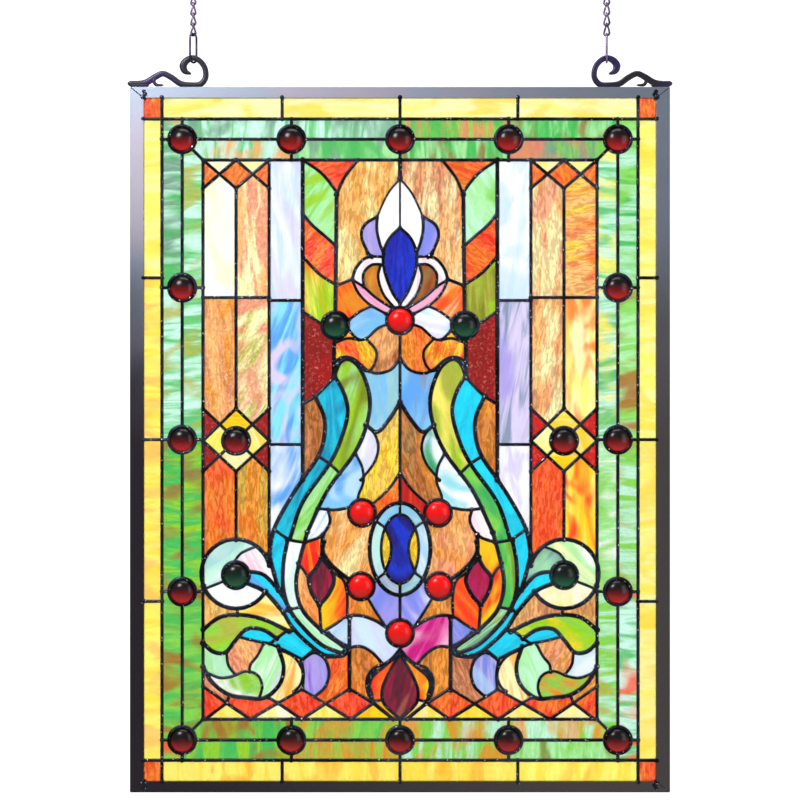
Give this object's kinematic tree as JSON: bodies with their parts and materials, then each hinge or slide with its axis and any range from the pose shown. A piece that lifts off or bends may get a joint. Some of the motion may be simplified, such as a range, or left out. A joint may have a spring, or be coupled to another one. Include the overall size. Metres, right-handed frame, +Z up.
{
  "type": "stained glass window panel",
  "caption": "Rectangular stained glass panel in a metal channel frame, with soldered leads, glass jewels, scroll hooks and chains to hang it in a window.",
  "frame": {"origin": "midway between the two hanging rings, at the height where their inner tops bear", "axes": "+Z up, +X to the viewer's right; the coloured front faces -Y and +Y points to the back"},
  "size_m": [0.4718, 0.0112, 0.7055],
  "materials": {
    "zinc": "brushed zinc, dull",
    "solder": "black patina solder, satin with bright glints",
    "yellow_glass": "streaky pale yellow to gold, lightly rippled",
    "green_glass": "streaky green, white, amber and rose",
    "white_glass": "wispy white and pink opal, petals lavender and blue at the sides",
    "amber_glass": "rippled amber and peach, with cobalt, plum and lavender tiles",
    "orange_glass": "deep orange and yellow, with pale green scroll tiles",
    "cream_glass": "cream and peach ripple, with orange and white tiles",
    "blue_glass": "streaky blue, turquoise and white",
    "lime_glass": "lime and pale green, with red and orange tiles",
    "turquoise_glass": "turquoise and cyan, with green, orange and blue tiles",
    "dark_red_jewel": "polished pressed glass, dark red",
    "green_jewel": "polished pressed glass, dark green",
    "bright_red_jewel": "polished pressed glass, bright red",
    "enamelled_steel": "gloss enamel, dark purple-black",
    "chain_steel": "dark plated, glossy"
  },
  "bodies": {
    "root": {"frame_bottom": "zinc", "frame_top": "zinc", "frame_left": "zinc", "frame_right": "zinc", "solder_lattice_front": "solder", "yellow_border_top": "yellow_glass", "yellow_border_bottom": "yellow_glass", "yellow_border_left": "yellow_glass", "yellow_border_right": "yellow_glass", "green_border_top": "green_glass", "green_border_bottom": "green_glass", "green_border_left": "green_glass", "green_border_right": "green_glass", "fleur_de_lis": "white_glass", "heart_field": "amber_glass", "scroll_base": "orange_glass", "pillar_left": "cream_glass", "pillar_right": "cream_glass", "blue_column_left": "blue_glass", "blue_column_right": "blue_glass", "leaf_column_left": "lime_glass", "leaf_column_right": "lime_glass", "arch_ground_left": "cream_glass", "arch_ground_right": "cream_glass", "lyre_left": "turquoise_glass", "lyre_right": "turquoise_glass", "jewel_top_1": "dark_red_jewel", "jewel_top_2": "dark_red_jewel", "jewel_top_3": "dark_red_jewel", "jewel_top_4": "dark_red_jewel", "jewel_top_5": "dark_red_jewel", "jewel_bottom_1": "dark_red_jewel", "jewel_bottom_2": "dark_red_jewel", "jewel_bottom_3": "dark_red_jewel", "jewel_bottom_4": "dark_red_jewel", "jewel_bottom_5": "dark_red_jewel", "jewel_left_1": "dark_red_jewel", "jewel_left_2": "dark_red_jewel", "jewel_left_3": "dark_red_jewel", "jewel_right_1": "dark_red_jewel", "jewel_right_2": "dark_red_jewel", "jewel_right_3": "dark_red_jewel", "jewel_pillar_left": "dark_red_jewel", "jewel_leaf_left": "green_jewel", "jewel_scroll_left": "green_jewel", "jewel_heart_upper_left": "bright_red_jewel", "jewel_heart_lower_left": "bright_red_jewel", "jewel_pillar_right": "dark_red_jewel", "jewel_leaf_right": "green_jewel", "jewel_scroll_right": "green_jewel", "jewel_heart_upper_right": "bright_red_jewel", "jewel_heart_lower_right": "bright_red_jewel", "jewel_lily": "bright_red_jewel", "jewel_flame": "bright_red_jewel", "scroll_hook_left": "enamelled_steel", "chain_left": "chain_steel", "scroll_hook_right": "enamelled_steel", "chain_right": "chain_steel"}
  },
  "joints": []
}
